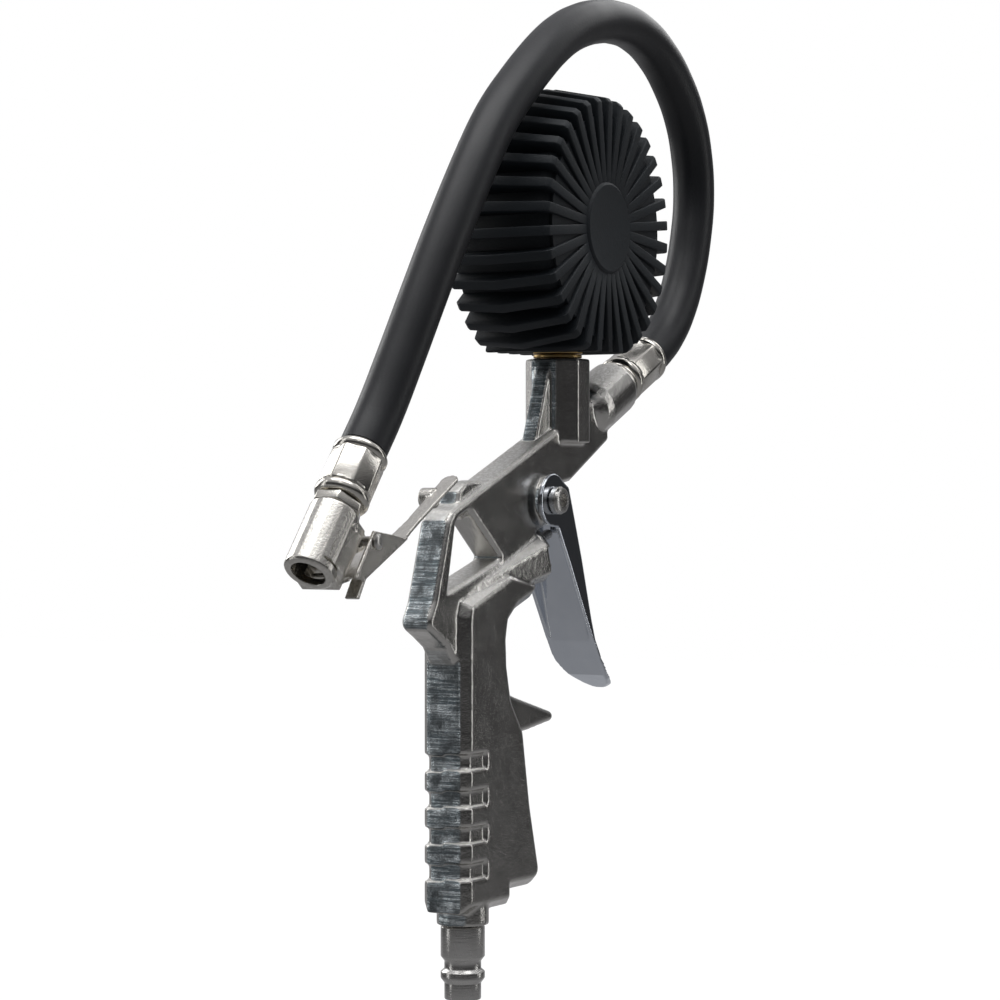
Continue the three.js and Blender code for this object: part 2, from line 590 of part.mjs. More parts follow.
// The movement: pinion at the dial's centre, toothed sector on an arbor below it.
function movement() {
  const sectorZ = -(sectorRadius + pinionRadius + seat);
  const top = 5;
  const half = 11;
  const between = [rearPlateY + plateThickness, frontPlateY];
  const arborHole = turnedY(disc(arborRadius + play, -20, 20), 16);
  const plate = [[-half, -21.6], [half, -21.6], [half, 0], [half - 4, top], [4 - half, top], [-half, 0]];
  const rear = slab(plate, plateThickness / 2).translate(0, rearPlateY + plateThickness / 2, 0);
  const front = slab(plate.map(([x, z]) => [x, Math.max(z, -18.3)]), plateThickness / 2);
  front.translate(0, frontPlateY + plateThickness / 2, 0);
  const pillars = [[-6.8, 2.4], [6.8, 2.4], [9.2, -16.4]].map(([x, z]) =>
    turnedY(disc(1.3, between[0] + seat, between[1] + 0.2), 12).translate(x, 0, z));
  const teeth = (count, inner, outer, from, to) => {
    const line = [];
    for (let i = 0; i < count; i++) {
      const at = (part) => THREE.MathUtils.degToRad(from + ((to - from) * (i + part)) / count);
      line.push([inner * Math.cos(at(0.1)), inner * Math.sin(at(0.1))]);
      line.push([outer * Math.cos(at(0.4)), outer * Math.sin(at(0.4))]);
      line.push([outer * Math.cos(at(0.6)), outer * Math.sin(at(0.6))]);
      line.push([inner * Math.cos(at(0.9)), inner * Math.sin(at(0.9))]);
    }
    return line;
  };
  const gearY = -1.4;
  const pinionEnd = dialY + dialThickness + 1.2;
  const pinion = join(
    solid(slab(teeth(pinionTeeth, pinionRadius - 0.5, pinionRadius, 0, 360), 0.8).translate(0, gearY, 0)),
    solid(turnedY(disc(arborRadius, between[0] + seat, pinionEnd), 12)),
  );
  // The sector starts leaning back by half its swing, away from the side that the teeth travel to.
  const lean = ((pointerSweep / 2) * pinionRadius) / sectorRadius;
  const span = ((sectorTeeth / 2) * 360 * pinionRadius) / (pinionTeeth * sectorRadius);
  const rim = teeth(sectorTeeth, sectorRadius - 0.5, sectorRadius, 90 + lean + span, 90 + lean - span);
  const wedge = [[-1.6, 0], ...rim, [1.6, 0]];
  const tail = slab([[0, -1.2], [0, 1.2], [-tailLength, 1.2], [-tailLength, -1.2]], 0.5);
  const sector = join(
    solid(slab(wedge, 0.5)),
    solid(turnedY(disc(2.2, -0.5, 0.5), 16)),
    solid(tail.rotateY(THREE.MathUtils.degToRad(-lean))),
    solid(turnedY(disc(arborRadius, between[0] + seat - gearY, between[1] - seat - gearY), 12)),
  );
  const sectorMesh = named("sector_gear", sector, brass);
  sectorMesh.position.set(0, gearY, sectorZ);
  const centre = new THREE.Vector2();
  const tip = new THREE.Vector2(tubeRadius, 0).rotateAround(centre, THREE.MathUtils.degToRad(tubeEnd));
  const reach = new THREE.Vector2(1 - tailLength, 0).rotateAround(centre, THREE.MathUtils.degToRad(lean));
  reach.add(new THREE.Vector2(0, sectorZ)).sub(tip);
  const link = named("tube_link", solid(box(-1, reach.length() + 1, -0.4, 0.4, -0.8, 0.8)), steel);
  link.position.set(tip.x, gearY - 0.9 - seat, tip.y);
  link.rotation.y = -reach.angle();
  const frontPlate = cut(join(solid(front), ...pillars.map(solid)), solid(arborHole));
  return [
    named("movement_rear_plate", solid(rear), brass),
    named("movement_front_plate", frontPlate, brass),
    named("pinion_arbor", pinion, brass),
    sectorMesh,
    link,
  ];
}

// The needle at rest points to the lower left of the dial, seen from the front.
const pointerRest = THREE.MathUtils.degToRad(-pointerSweep / 2);

function pointer() {
  const y = dialY + dialThickness + 1.2 + seat;
  const needle = [[-1.2, -7], [1.2, -7], [0.9, 0], [0.25, 24], [-0.25, 24], [-0.9, 0]];
  const hub = turnedY(disc(2.4, y, y + 1), 20);
  const blade = solid(slab(needle, 0.25).translate(0, y + 0.4, 0).rotateY(-pointerRest));
  return named("pointer", join(blade, solid(hub)), red);
}

function gauge() {
  const group = new THREE.Group();
  group.position.copy(gaugeCentre);
  group.add(...gaugeShell(), gaugeBoot(), gaugeSocket(), socketWasher(), bourdonTube(), ...movement(), pointer());
  return group;
}

// ---- Hose ends

// A crimped sleeve about Z with a rolled collar at each end and eight flats between them.
function ferrule(from, to) {
  const radius = hoseRadius + ferruleWall;
  const inner = hoseBore + 2 * seat;
  const sleeveSolid = solid(turned([
    [inner, from], [radius - 0.4, from], [radius, from + 0.5],
    [radius, to - 0.5], [radius - 0.4, to], [inner, to],
  ]));
  const crimp = prism(8, 2 * radius - 1.2, from + 3.4, to - 3.4);
  const band = turned(sleeve(radius - 1.6, radius + 2, from + 3.4, to - 3.4));
  return sleeveSolid.subtract(solid(band).subtract(solid(crimp)));
}

function hoseEnds() {
  const start = tailFlange + 2 * seat;
  const flangeRadius = tailFlangeRadius;
  const deep = 1 - portThreadDepth;
  const end = start + ferruleLength - 1;
  const tail = turned([
    [tailBore, deep], [portThread, deep], [portThread, seat], [flangeRadius, seat],
    [flangeRadius, seat + tailFlange], [hoseBore, seat + tailFlange], [hoseBore, end], [tailBore, end],
  ]).rotateY(Math.PI / 2);
  const sleeveMesh = named("head_ferrule", ferrule(start, start + ferruleLength), nickel);
  sleeveMesh.rotation.y = Math.PI / 2;
  return framed(portFrame, named("hose_tail", solid(tail), nickel), sleeveMesh);
}

function hose() {
  const exit = tailFlange + ferruleLength + 3 * seat;
  const start = new THREE.Vector3(exit, 0, 0).applyMatrix4(portFrame);
  const straight = new THREE.Vector3(exit + 1.5, 0, 0).applyMatrix4(portFrame);
  const end = new THREE.Vector3(0, 0, seat).applyMatrix4(chuckFrame);
  const before = new THREE.Vector3(0, 0, seat + 1.5).applyMatrix4(chuckFrame);
  const middle = hoseRoute.map((point) => new THREE.Vector3(...point));
  const points = [start, straight, ...middle, before, end];
  return named("hose", solid(tube(points, hoseRadius, 48, 10)), rubber);
}

// ---- Chuck, in a frame with its origin at the hose end of the ferrule and Z towards the hose

function chuck() {
  const hexTop = -chuckFerruleLength - seat;
  const bodyTop = hexTop - chuckHexHeight - seat;
  const mouth = bodyTop - chuckLength;
  const threadDepth = 5;
  const tail = cut(
    join(
      solid(turned(disc(hoseBore, hexTop - 1, -1))),
      solid(prism(6, chuckHexFlats, hexTop - chuckHexHeight, hexTop)),
      solid(turned(disc(portThread - 0.4, bodyTop - threadDepth, hexTop - 1))),
    ),
    solid(turned(disc(tailBore, bodyTop - threadDepth - 1, 0), 12)),
  );
  const seatZ = mouth + 12.4;
  const barrelProfile = [
    [0, mouth], [chuckRadius - 0.6, mouth], [chuckRadius, mouth + 0.6], [chuckRadius, bodyTop], [0, bodyTop],
  ];
  const barrelSolid = solid(turned(barrelProfile, 28));
  const flats = [[-2, mouth + 3], [5.4, mouth + 3], [5.4, bodyTop - 1], [-2, bodyTop - 1]];
  const side = solid(slab(flats, chuckRadius - 0.1, 0.4));
  const lugBottom = clipPinZ - 3;
  const lugEnd = arc(clipPinX, clipPinZ, 2.8, -60, 90, 5);
  const lug = solid(slab([[4, lugBottom], [clipPinX + 1, lugBottom], ...lugEnd, [4, clipPinZ + 0.4]], 3.2));
  const block = solid(slab([[2, mouth + 0.5], [7.2, mouth + 0.5], [7.2, bodyTop], [2, bodyTop]], 6, 0.5));
  const jawSlot = solid(box(0, 9, -3.6, 3.6, mouth + 2.2, mouth + 5.4));
  const body = cut(
    join(barrelSolid, side, block, lug),
    solid(turned(disc(chuckBore, mouth - 1, seatZ))),
    solid(turned(disc(tailBore, seatZ - 1, bodyTop), 12)),
    solid(turned(disc(portThread - 0.4 + seat, bodyTop - threadDepth - 0.5, bodyTop + 1))),
    solid(turnedY(disc(clipPinRadius + play, -10, 10), 16).translate(clipPinX, 0, clipPinZ)),
    jawSlot,
  );
  const plateZ = seatZ - seat - 1;
  const airHoles = [0, 1, 2].map((i) => {
    const round = (i * 2 * Math.PI) / 3;
    const hole = turned(disc(0.9, plateZ - 1, plateZ + 2), 10);
    return solid(hole.translate(2.6 * Math.cos(round), 2.6 * Math.sin(round), 0));
  });
  const pin = cut(
    join(
      solid(turned(disc(chuckBore - seat, plateZ, plateZ + 1))),
      solid(turned([
        [0, plateZ - 5], [0.7, plateZ - 5], [1, plateZ - 4.6], [1, plateZ + 0.2], [0, plateZ + 0.2],
      ], 12)),
    ),
    ...airHoles,
  );
  const seal = turned(sleeve(1.9, chuckBore - seat, plateZ - seat - 2.8, plateZ - seat));
  return framed(
    chuckFrame,
    named("chuck_ferrule", ferrule(-chuckFerruleLength, 0), nickel),
    named("chuck_tail", tail, nickel),
    named("chuck_body", body, nickel),
    named("depressor_pin", pin, brass),
    named("chuck_seal", solid(seal), rubber),
    ...clip(mouth),
  );
}

function clip(mouth) {
  const inner = chuckRadius + seat;
  const outer = inner + clipSheet;
  const elbow = [21.7, -11.8];
  const heel = [12.3, -32];
  const ear = [
    [clipPinX - 2.4, clipPinZ + 1.6], [clipPinX + 0.6, clipPinZ + 3.4], [16.6, -14.5], elbow, heel,
    [8.6, -35], [8, -33],
  ];
  const ears = cut(solid(slab(ear, outer)), solid(slab(ear, inner)));
  const lean = Math.atan2(heel[1] - elbow[1], heel[0] - elbow[0]);
  const sheetIn = ([x, z]) => [x + Math.sin(lean) * clipSheet, z - Math.cos(lean) * clipSheet];
  const back = solid(slab([elbow, heel, sheetIn(heel), sheetIn(elbow)], outer));
  const jawTip = chuckBore + seat;
  const jaw = solid(slab([
    [jawTip, mouth + 3.3], [jawTip, mouth + 4.3], [8.4, mouth + 4.3],
    [heel[0], heel[1] + 1], [heel[0] + 0.2, heel[1] - 0.6], [8.9, mouth + 3.3],
  ], 3.2));
  const bent = [heel, [heel[0] + 0.7, heel[1] - 6], [heel[0] - 0.3, heel[1] - 6.2], sheetIn(heel)];
  const toe = solid(slab(bent, 2).translate(0, -6, 0));
  const bore = turnedY(disc(clipPinRadius + play, -10, 10), 16).translate(clipPinX, 0, clipPinZ);
  const lever = cut(join(ears, back, jaw, toe, ...clipPad(elbow)), solid(bore));
  const head = outer + seat;
  const rivet = turnedY([
    [0, -head - 0.8], [2, -head - 0.8], [2, -head], [clipPinRadius, -head], [clipPinRadius, head], [2, head],
    [2, head + 0.8], [0, head + 0.8],
  ], 16).translate(clipPinX, 0, clipPinZ);
  const spring = coil(clipPinRadius + 0.9, 0.35, 3, 3.2 + seat, inner - seat).rotateX(-Math.PI / 2);
  return [
    named("clip_lever", lever, nickel),
    named("clip_pin", solid(rivet), steel),
    named("clip_spring", solid(spring.translate(clipPinX, 0, clipPinZ)), steel),
  ];
}

// The arm runs up from the elbow and ends in an oval thumb pad.
// A narrow arm along the left side of the clip, with a curl rolled on its inner edge.
function clipPad(elbow) {
  const rise = THREE.MathUtils.degToRad(68.8);
  const tip = arc(29.4, -5.2, 2.4, -80, 80, 6);
  const arm = [[-1.5, -7.6], [8, -7.2], ...tip, [8, -3.4], [-1.5, -2.6]];
  const shape = new THREE.Shape(arm.map(([u, v]) => new THREE.Vector2(u, v)));
  const sheet = new THREE.ExtrudeGeometry(shape, { depth: clipSheet, bevelEnabled: false });
  const curl = turnedY(sleeve(1.9, 2.8, -4, -0.2), 20).translate(22.6, 0, -0.8);
  return [sheet, curl].map((piece) => solid(piece.rotateY(-rise).translate(elbow[0], 0, elbow[1])));
}

const inflator = new THREE.Group();
inflator.add(bodyCasting(), inletNipple(), valveParts(), triggerLever(), pivotParts());
inflator.add(gauge(), hoseEnds(), hose(), chuck());

export default inflator;
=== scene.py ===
import bpy, json, math
from mathutils import Matrix, Vector

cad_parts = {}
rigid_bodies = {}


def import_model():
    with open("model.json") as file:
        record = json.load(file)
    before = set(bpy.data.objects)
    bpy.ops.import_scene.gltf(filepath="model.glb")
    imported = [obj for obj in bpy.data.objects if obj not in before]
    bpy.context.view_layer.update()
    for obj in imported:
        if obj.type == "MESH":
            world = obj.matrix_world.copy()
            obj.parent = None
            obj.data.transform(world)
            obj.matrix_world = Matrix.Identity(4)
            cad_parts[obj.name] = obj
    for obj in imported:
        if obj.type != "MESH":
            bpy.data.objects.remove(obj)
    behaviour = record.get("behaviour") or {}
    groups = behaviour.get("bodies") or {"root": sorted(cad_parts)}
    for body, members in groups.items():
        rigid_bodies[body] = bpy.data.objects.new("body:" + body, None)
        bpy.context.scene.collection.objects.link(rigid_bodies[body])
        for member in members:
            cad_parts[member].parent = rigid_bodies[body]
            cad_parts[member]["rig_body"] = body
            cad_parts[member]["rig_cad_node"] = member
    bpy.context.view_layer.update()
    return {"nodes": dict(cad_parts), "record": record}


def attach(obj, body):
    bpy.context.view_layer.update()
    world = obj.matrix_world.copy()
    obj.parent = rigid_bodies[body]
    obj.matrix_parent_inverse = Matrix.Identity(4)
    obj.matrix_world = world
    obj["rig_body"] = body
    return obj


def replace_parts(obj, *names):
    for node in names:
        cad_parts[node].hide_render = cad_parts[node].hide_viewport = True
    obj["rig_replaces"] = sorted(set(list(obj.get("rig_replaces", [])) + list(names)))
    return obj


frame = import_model()
nodes = frame["nodes"]
mm = 0.001

# ---------- camera and light

view = {"azimuth": -60, "pitch": -0.25, "distance": 813, "sideways": 10.1, "height": 138.8, "lens": 108}


def makeCamera():
    turn = math.radians(view["azimuth"])
    forward = Vector((-math.sin(turn), math.cos(turn), 0))
    right = Vector((math.cos(turn), math.sin(turn), 0))
    data = bpy.data.cameras.new("camera")
    data.lens = view["lens"]
    data.sensor_width = 36
    data.clip_start = 0.01
    camera = bpy.data.objects.new("camera", data)
    place = forward * -view["distance"] + right * view["sideways"] + Vector((0, 0, view["height"]))
    camera.location = place * mm
    camera.rotation_euler = (math.radians(90 + view["pitch"]), 0, turn)
    bpy.context.scene.collection.objects.link(camera)
    bpy.context.scene.camera = camera


# Lamps stand round the middle of the object: azimuth and height angle, distance, size and strength.
lamps = {
    "topBox": {"from": (-60, 80), "away": 0.75, "size": (0.9, 0.45), "watts": 3.4},
    "leftBox": {"from": (-140, 8), "away": 0.8, "size": (0.1, 0.9), "watts": 0.6},
    "rightBox": {"from": (36, 10), "away": 0.8, "size": (0.12, 0.8), "watts": 0.65},
    "frontBox": {"from": (-74, 40), "away": 0.9, "size": (0.1, 0.3), "watts": 0.2},
    "edgeBox": {"from": (92, 33), "away": 1.0, "size": (0.55, 0.45), "watts": 1.8},
    "dialBox": {"from": (172, 18), "away": 1.0, "size": (0.5, 0.6), "watts": 3.0},
}


def makeLamps():
    middle = Vector((40, 0, 140)) * mm
    for name, lamp in lamps.items():
        around, up = (math.radians(angle) for angle in lamp["from"])
        way = Vector((math.sin(around) * math.cos(up), -math.cos(around) * math.cos(up), math.sin(up)))
        data = bpy.data.lights.new(name, "AREA")
        data.shape = "RECTANGLE"
        data.size, data.size_y = lamp["size"]
        data.energy = lamp["watts"]
        box = bpy.data.objects.new(name, data)
        box.location = middle + way * lamp["away"]
        box.rotation_euler = way.to_track_quat("Z", "Y").to_euler()
        bpy.context.scene.collection.objects.link(box)


# Grey levels seen in reflections: below, near the camera, far behind the object and overhead; and the backdrop.
room = {"floor": 0.26, "near": 0.03, "far": 0.30, "ceiling": 0.8, "backdrop": 1.0, "cool": 1.03}


def fillRamp(colorRamp, stops, cool=1.0):
    # stops are positions and grey levels; cool lifts the blue a little
    for i, (position, grey) in enumerate(stops):
        stop = colorRamp.elements[i] if i < 2 else colorRamp.elements.new(position)
        stop.position, stop.color = position, (grey, grey, grey * cool, 1)


def makeRoom():
    world = bpy.data.worlds.new("room")
    bpy.context.scene.world = world
    world.use_nodes = True
    tree = world.node_tree
    tree.nodes.clear()
    place = tree.nodes.new("ShaderNodeTexCoord")
    turned = tree.nodes.new("ShaderNodeMapping")
    turned.inputs["Rotation"].default_value = (0, 0, math.radians(-view["azimuth"]))
    tree.links.new(place.outputs["Generated"], turned.inputs["Vector"])
    split = tree.nodes.new("ShaderNodeSeparateXYZ")
    tree.links.new(turned.outputs[0], split.inputs[0])
    levels = []
    for axis, stops in (
        ("Y", [(0.0, room["near"]), (0.8, room["near"]), (0.95, room["far"]), (1.0, room["far"])]),
        ("Z", [(0.0, room["floor"]), (0.34, room["floor"] * 0.7), (0.46, 0.0), (0.6, 0.0),
               (0.78, room["ceiling"] * 0.4), (1.0, room["ceiling"])]),
    ):
        spread = tree.nodes.new("ShaderNodeMapRange")
        spread.inputs["From Min"].default_value = -1
        ramp = tree.nodes.new("ShaderNodeValToRGB")
        tree.links.new(split.outputs[axis], spread.inputs["Value"])
        tree.links.new(spread.outputs[0], ramp.inputs["Fac"])
        fillRamp(ramp.color_ramp, stops, room["cool"])
        levels.append(ramp.outputs["Color"])
    total = tree.nodes.new("ShaderNodeMix")
    total.data_type, total.blend_type = "RGBA", "ADD"
    total.inputs[0].default_value = 1
    tree.links.new(levels[0], total.inputs[6])
    tree.links.new(levels[1], total.inputs[7])
    seen = tree.nodes.new("ShaderNodeLightPath")
    around = tree.nodes.new("ShaderNodeBackground")
    backdrop = tree.nodes.new("ShaderNodeBackground")
    backdrop.inputs["Color"].default_value = (1, 1, 1, 1)
    backdrop.inputs["Strength"].default_value = room["backdrop"]
    choose = tree.nodes.new("ShaderNodeMixShader")
    out = tree.nodes.new("ShaderNodeOutputWorld")
    tree.links.new(total.outputs[2], around.inputs["Color"])
    tree.links.new(seen.outputs["Is Camera Ray"], choose.inputs[0])
    tree.links.new(around.outputs[0], choose.inputs[1])
    tree.links.new(backdrop.outputs[0], choose.inputs[2])
    tree.links.new(choose.outputs[0], out.inputs["Surface"])
    scene = bpy.context.scene
    scene.view_settings.view_transform = "Standard"
    scene.view_settings.look = "None"


# ---------- finishes

class Val:
    # one output of a node, which takes part in plain arithmetic
    def __init__(self, finish, socket):
        self.finish = finish
        self.socket = socket

    def maths(self, operation, first, second):
        return self.finish.node("ShaderNodeMath", {"operation": operation}, {0: first, 1: second})

    def __add__(self, other):
        return self.maths("ADD", self, other)

    def __radd__(self, other):
        return self.maths("ADD", other, self)

    def __sub__(self, other):
        return self.maths("SUBTRACT", self, other)

    def __rsub__(self, other):
        return self.maths("SUBTRACT", other, self)

    def __mul__(self, other):
        return self.maths("MULTIPLY", self, other)

    def __rmul__(self, other):
        return self.maths("MULTIPLY", other, self)


class Finish:
    def __init__(self, name, **sockets):
        self.material = bpy.data.materials.new(name)
        self.material.use_nodes = True
        self.tree = self.material.node_tree
        self.shader = self.tree.nodes["Principled BSDF"]
        self.coords = self.tree.nodes.new("ShaderNodeTexCoord")
        self.set(**sockets)

    def link(self, socket, value):
        if isinstance(value, Val):
            self.tree.links.new(value.socket, socket)
        elif isinstance(value, tuple) and len(value) == 3 and socket.type == "RGBA":
            socket.default_value = (*value, 1)
        else:
            socket.default_value = value

    def node(self, kind, settings=None, sockets=None, output=0):
        made = self.tree.nodes.new(kind)
        for key, value in (settings or {}).items():
            if key == "stops":
                fillRamp(made.color_ramp, value)
            else:
                setattr(made, key, value)
        for key, value in (sockets or {}).items():
            self.link(made.inputs[key], value)
        return Val(self, made.outputs[output])

    def set(self, **sockets):
        for key, value in sockets.items():
            self.link(self.shader.inputs[key.replace("_", " ")], value)

    def noise(self, size, detail=2.0, rough=0.5, stretch=(1, 1, 1)):
        # size is the width of a blob in millimetres; a stretch below 1 draws it out along that axis
        spot = self.node("ShaderNodeMapping", {"vector_type": "POINT"}, {
            "Vector": Val(self, self.coords.outputs["Object"]), "Scale": stretch})
        return self.node("ShaderNodeTexNoise", None, {
            "Vector": spot, "Scale": 1000 / size, "Detail": detail, "Roughness": rough})

    def ramp(self, value, *stops):
        return self.node("ShaderNodeValToRGB", {"stops": stops}, {"Fac": value})

    def mix(self, share, first, second):
        return self.node("ShaderNodeMix", {"data_type": "RGBA"}, {0: share, 6: first, 7: second}, 2)

    def facing(self, axis):
        # how much the surface faces along an axis of the object, from -1 to 1
        normal = Val(self, self.coords.outputs["Normal"])
        return self.node("ShaderNodeSeparateXYZ", None, {0: normal}, "XYZ".index(axis))

    def bump(self, height, depth):
        # depth is the height of a full step in millimetres
        return self.node("ShaderNodeBump", None, {"Height": height, "Distance": depth * mm, "Strength": 1.0})


def castNickel():
    # the rear faces carry a painted blue-grey reflection, streaked along their drawn lines and darkened in
    # painted patches, and the top faces are grainier with pale painted highlight specks
    f = Finish("cast_nickel", Metallic=1.0)
    rear = f.ramp(f.facing("X") * -1, (0.72, 0.0), (0.86, 1.0))
    top = f.ramp(f.facing("Z"), (0.55, 0.0), (0.8, 1.0))
    cloud = f.noise(7.0, 3.0)
    grain = f.noise(0.5, 3.0, 0.6)
    # pale specks painted as highlights on the grain of upward faces
    painted_highlight_specks = f.ramp(f.noise(0.9, 2.0), (0.45, 0.0), (0.62, 1.0))
    peel = f.noise(1.6, 2.0)
    lines = f.noise(0.6, 4.0, 0.75, stretch=(0.02, 0.05, 1))
    # painted darker reflection patches, used only on the rear faces
    painted_reflection_patches = f.ramp(f.noise(5.5, 4.0, 0.65), (0.36, 0.0), (0.6, 1.0))
    base = f.mix(cloud, (0.50, 0.485, 0.46), (0.66, 0.65, 0.62))
    # upward faces lightened by the painted highlight specks
    base = f.mix(top * painted_highlight_specks * 0.5, base, (0.86, 0.86, 0.85))
    # painted blue-grey reflection of the surroundings, light and dark along the drawn lines
    painted_rear_reflection = f.mix(f.ramp(lines, (0.44, 0.0), (0.58, 1.0)), (0.16, 0.21, 0.235), (0.74, 0.80, 0.82))
    painted_rear_reflection = f.mix(painted_reflection_patches, (0.10, 0.12, 0.13), painted_rear_reflection)
    # rear-facing faces take the painted reflection in place of the nickel tone
    colour = f.mix(rear * 0.9, base, painted_rear_reflection)
    height = grain * (0.3 + top * 1.3) + peel * 0.45 + lines * rear * 2.2
    f.set(Base_Color=colour, Roughness=0.17 + 0.09 * cloud + 0.16 * top, Normal=f.bump(height, 0.17))
    return f.material


def brightNickel():
    f = Finish("bright_nickel", Metallic=1.0)
    cloud = f.noise(4.0, 3.0)
    grain = f.noise(0.35, 2.0)
    colour = f.mix(cloud, (0.54, 0.515, 0.47), (0.72, 0.70, 0.65))
    f.set(Base_Color=colour, Roughness=0.12 + 0.1 * cloud, Normal=f.bump(grain, 0.035))
    return f.material


def satinNickel():
    # the clip and the chuck's block are duller than the turned sleeves
    f = Finish("satin_nickel", Metallic=1.0)
    cloud = f.noise(3.0, 3.0)
    grain = f.noise(0.3, 3.0, 0.6)
    specks = f.ramp(f.noise(0.7, 3.0, 0.7), (0.4, 0.0), (0.62, 1.0))
    colour = f.mix(cloud, (0.50, 0.48, 0.44), (0.68, 0.66, 0.62))
    colour = f.mix(specks * 0.3, colour, (0.88, 0.86, 0.82))
    f.set(Base_Color=colour, Roughness=0.16 + 0.12 * cloud, Normal=f.bump(grain + specks * 0.5, 0.035))
    return f.material


def mirrorChrome():
    f = Finish("mirror_chrome", Metallic=1.0)
    haze = f.noise(9.0, 2.0)
    f.set(Base_Color=f.mix(haze, (0.62, 0.66, 0.72), (0.74, 0.77, 0.82)), Roughness=0.06 + 0.07 * haze)
    f.set(Normal=f.bump(f.noise(5.0, 1.0), 0.05))
    return f.material


def turnedSteel():
    f = Finish("turned_steel", Metallic=1.0)
    rings = f.noise(0.22, 2.0, stretch=(0.04, 0.04, 1))
    cloud = f.noise(5.0, 3.0)
    colour = f.mix(cloud, (0.52, 0.51, 0.49), (0.68, 0.67, 0.65))
    f.set(Base_Color=colour, Roughness=0.22 + 0.1 * cloud, Normal=f.bump(rings, 0.05))
    return f.material


def plainBrass():
    f = Finish("plain_brass", Metallic=1.0)
    cloud = f.noise(4.0, 3.0)
    colour = f.mix(cloud, (0.46, 0.31, 0.12), (0.66, 0.48, 0.22))
    f.set(Base_Color=colour, Roughness=0.25 + 0.15 * cloud, Normal=f.bump(f.noise(0.4), 0.03))
    return f.material


def bootRubber():
    f = Finish("boot_rubber")
    cloud = f.noise(9.0, 4.0)
    colour = f.mix(cloud, (0.007, 0.010, 0.013), (0.014, 0.019, 0.024))
    f.set(Base_Color=colour, Roughness=0.5 + 0.16 * cloud, Normal=f.bump(f.noise(0.5, 3.0), 0.05))
    f.set(Specular_IOR_Level=0.35)
    return f.material


def hoseRubber():
    f = Finish("hose_rubber")
    cloud = f.noise(14.0, 4.0)
    colour = f.mix(cloud, (0.006, 0.007, 0.009), (0.011, 0.012, 0.015))
    f.set(Base_Color=colour, Roughness=0.36 + 0.14 * cloud, Normal=f.bump(f.noise(0.7, 3.0), 0.04))
    f.set(Specular_IOR_Level=0.42)
    return f.material


def sealRubber():
    f = Finish("seal_rubber")
    cloud = f.noise(2.0)
    f.set(Base_Color=f.mix(cloud, (0.012, 0.012, 0.012), (0.03, 0.03, 0.03)), Roughness=0.6 + 0.1 * cloud)
    return f.material


def clearLens():
    f = Finish("clear_lens", IOR=1.49, Transmission_Weight=1.0)
    f.set(Base_Color=(0.97, 0.99, 0.99), Roughness=0.02 + 0.03 * f.noise(12.0, 3.0))
    return f.material


def dialPaint():
    f = Finish("dial_paint")
    cloud = f.noise(6.0, 3.0)
    f.set(Base_Color=f.mix(cloud, (0.80, 0.80, 0.78), (0.86, 0.86, 0.84)), Roughness=0.4 + 0.1 * cloud)
    return f.material


def blackPaint():
    f = Finish("black_paint")
    cloud = f.noise(3.0)
    f.set(Base_Color=f.mix(cloud, (0.012, 0.012, 0.014), (0.03, 0.03, 0.03)), Roughness=0.35 + 0.1 * cloud)
    return f.material


finishes = {
    "nickel_casting": castNickel(), "nickel_fitting": brightNickel(), "lever_chrome": mirrorChrome(),
    "turned_steel": turnedSteel(), "brass": plainBrass(), "boot_rubber": bootRubber(),
    "hose_rubber": hoseRubber(), "seal_rubber": sealRubber(), "gauge_glass": clearLens(),
    "dial_white": dialPaint(), "pointer_black": blackPaint(), "satin": satinNickel(),
}
slotOf = {part["node"]: part["material_slot"] for part in frame["record"]["subparts"]}


def paint(piece, slot):
    piece.data.materials.clear()
    piece.data.materials.append(finishes[slot])


# ---------- modelling

def only(piece):
    if bpy.context.object and bpy.context.object.mode != "OBJECT":
        bpy.ops.object.mode_set(mode="OBJECT")
    bpy.ops.object.select_all(action="DESELECT")
    piece.select_set(True)
    bpy.context.view_layer.objects.active = piece


def copyOf(node):
    # a merged copy of a design solid, to be refined
    piece = nodes[node].copy()
    piece.data = nodes[node].data.copy()
    piece.parent = None
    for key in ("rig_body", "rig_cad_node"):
        del piece[key]
    piece.name = piece.data.name = node + "_skin"
    bpy.context.scene.collection.objects.link(piece)
    only(piece)
    bpy.ops.object.mode_set(mode="EDIT")
    bpy.ops.mesh.select_all(action="SELECT")
    bpy.ops.mesh.remove_doubles(threshold=0.01 * mm)
    bpy.ops.object.mode_set(mode="OBJECT")
    return piece


def modify(piece, kind, **settings):
    only(piece)
    made = piece.modifiers.new(kind.lower(), kind)
    for key, value in settings.items():
        setattr(made, key, value)
    bpy.ops.object.modifier_apply(modifier=made.name)


def smooth(piece, angle=35):
    only(piece)
    bpy.ops.object.shade_smooth_by_angle(angle=math.radians(angle))
    return piece


def stand(piece, node, body="gun", finish=None):
    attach(piece, body)
    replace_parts(piece, node)
    paint(piece, finish or slotOf[node])


def drawn(name, points, matrix=Matrix.Identity(4)):
    # a line of edges through points in millimetres, drawn by extruding one vertex
    only(nodes["hose"])
    bpy.ops.mesh.primitive_plane_add(size=mm)
    piece = bpy.context.object
    piece.name = piece.data.name = name
    bpy.ops.object.mode_set(mode="EDIT")
    bpy.ops.mesh.select_all(action="SELECT")
    bpy.ops.mesh.merge(type="CENTER")
    places = [matrix @ (Vector(p) * mm) for p in points]
    bpy.ops.transform.translate(value=places[0])
    for here, there in zip(places, places[1:]):
        bpy.ops.mesh.extrude_region_move(TRANSFORM_OT_translate={"value": there - here})
    return piece


